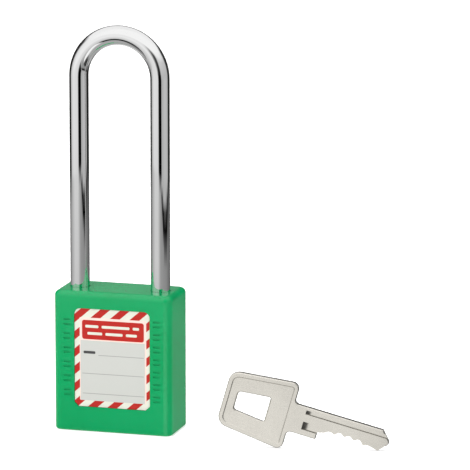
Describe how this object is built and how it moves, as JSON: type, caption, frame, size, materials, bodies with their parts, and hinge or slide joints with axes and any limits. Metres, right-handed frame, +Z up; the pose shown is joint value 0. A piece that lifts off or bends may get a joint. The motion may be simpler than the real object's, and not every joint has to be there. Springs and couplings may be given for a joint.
{
  "type": "safety padlock",
  "caption": "Long-shackle safety padlock with a boxy plastic body, a write-on label on each face, and its own flat key standing beside it.",
  "frame": {"origin": "centre of the flat base of the body, on the surface it stands on", "axes": "+Z up along the shackle legs, -Y out of the front label, +X from the heel leg to the toe leg"},
  "size_m": [0.1068, 0.0257, 0.126],
  "materials": {
    "green_plastic": "smooth moulded, glossy",
    "label": "printed film",
    "chromed_steel": "polished chrome",
    "steel": "ground",
    "brass": "turned",
    "zinc": "die cast",
    "nickel_silver": "blanked and nickel plated"
  },
  "bodies": {
    "body": {"body_shell": "green_plastic", "base_cover": "green_plastic", "front_label": "label", "back_label": "label", "ball_cage": "zinc", "cylinder_housing": "brass", "chamber_cover": "brass", "retaining_screw": "steel", "driver_pin_1": "brass", "driver_pin_2": "brass", "driver_pin_3": "brass", "driver_pin_4": "brass", "driver_pin_5": "brass", "pin_spring_1": "steel", "pin_spring_2": "steel", "pin_spring_3": "steel", "pin_spring_4": "steel", "pin_spring_5": "steel"},
    "shackle": {"shackle": "chromed_steel", "shackle_spring": "steel", "spring_follower": "zinc"},
    "plug": {"cylinder_plug": "brass", "plug_clip": "steel", "locking_cam": "zinc", "key_pin_1": "brass", "key_pin_2": "brass", "key_pin_3": "brass", "key_pin_4": "brass", "key_pin_5": "brass"},
    "heel_ball": {"heel_ball": "steel"},
    "toe_ball": {"toe_ball": "steel"},
    "key": {"key": "nickel_silver"}
  },
  "joints": [
    {"name": "shackle_lift", "type": "slide", "parent": "body", "child": "shackle", "axis": [0, 0, 1], "range_m": [0, 0.018], "deforming": ["shackle_spring"]},
    {"name": "plug_turn", "type": "hinge", "parent": "body", "child": "plug", "pos_m": [0, 0, 0], "axis": [0, 0, 1], "range_deg": [0, 90]},
    {"name": "heel_ball_slide", "type": "slide", "parent": "body", "child": "heel_ball", "axis": [-1, 0, 0], "range_m": [0, 0.00128]},
    {"name": "toe_ball_slide", "type": "slide", "parent": "body", "child": "toe_ball", "axis": [1, 0, 0], "range_m": [0, 0.0019]},
    {"name": "key_lift", "type": "slide", "parent": "body", "child": "key", "axis": [0, 0, 1], "range_m": [0, 0.04]}
  ],
  "couplings": [
    {"joint": "heel_ball_slide", "follows": "plug_turn", "m_per_rad": 0.00081169},
    {"joint": "toe_ball_slide", "follows": "plug_turn", "m_per_rad": 0.0012096}
  ]
}
